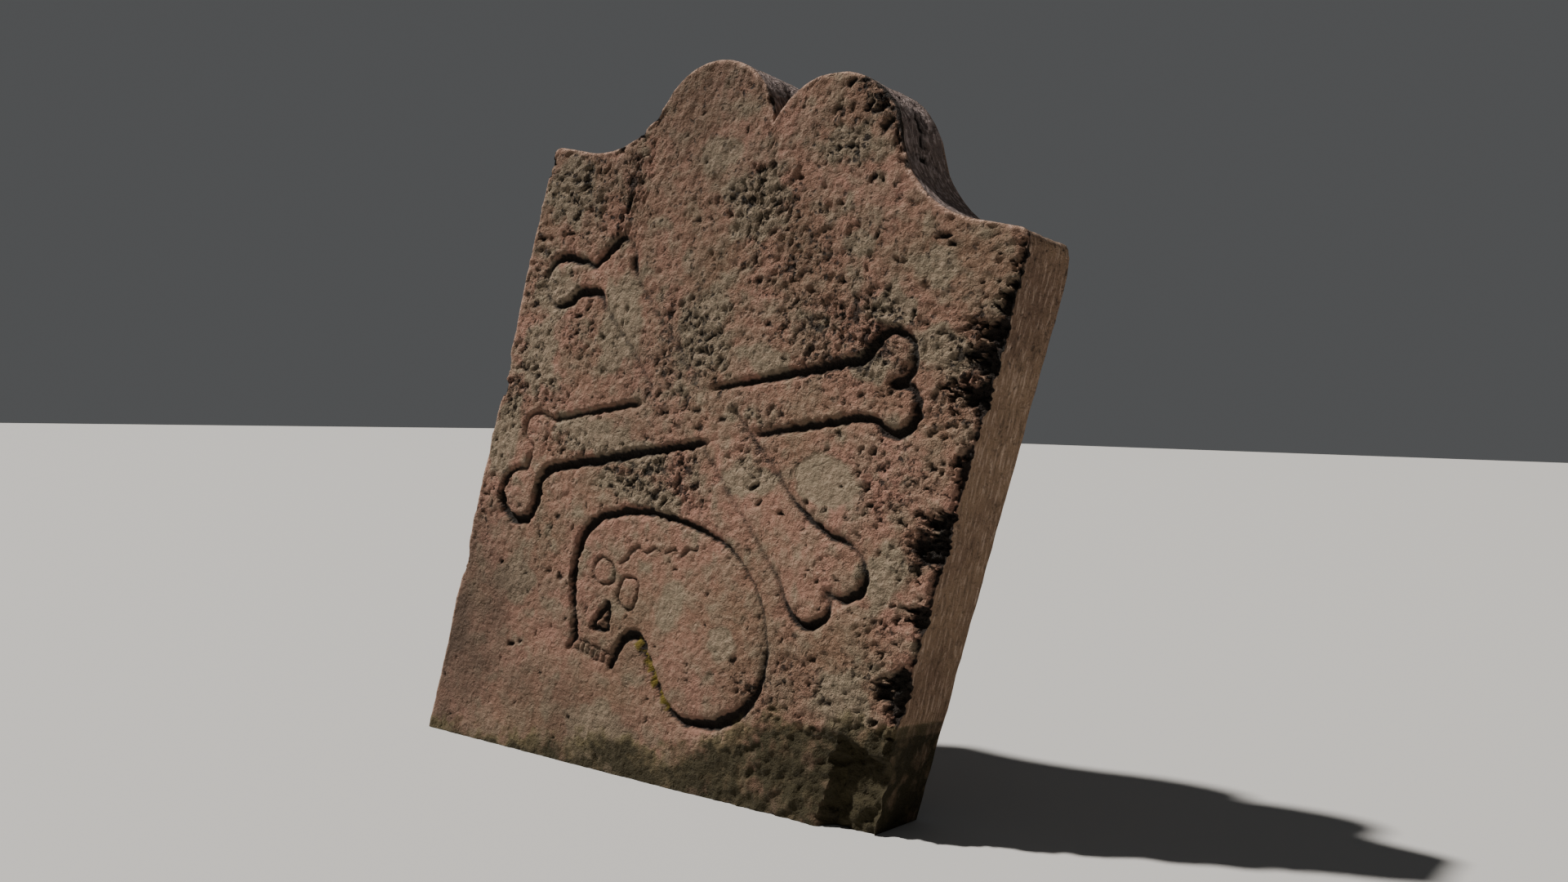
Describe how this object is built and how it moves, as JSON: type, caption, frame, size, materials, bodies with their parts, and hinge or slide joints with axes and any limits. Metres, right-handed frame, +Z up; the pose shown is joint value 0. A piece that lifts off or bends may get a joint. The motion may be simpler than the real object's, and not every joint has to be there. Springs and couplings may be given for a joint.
{
  "type": "gravestone",
  "caption": "Leaning sandstone headstone with a two-lobed head, carved with crossed bones and a skull in profile, cut off level at the ground.",
  "frame": {"origin": "middle of the level cut foot, on the ground", "axes": "+Z up, -Y out of the carved face towards the viewer, +X to the viewer's right along the face's level line; the slab leans 12.4 degrees towards +X and 4.5 degrees towards +Y"},
  "size_m": [0.7383, 0.1423, 0.7233],
  "materials": {
    "sandstone": "rough, weathered"
  },
  "bodies": {
    "root": {"headstone": "sandstone"}
  },
  "joints": []
}
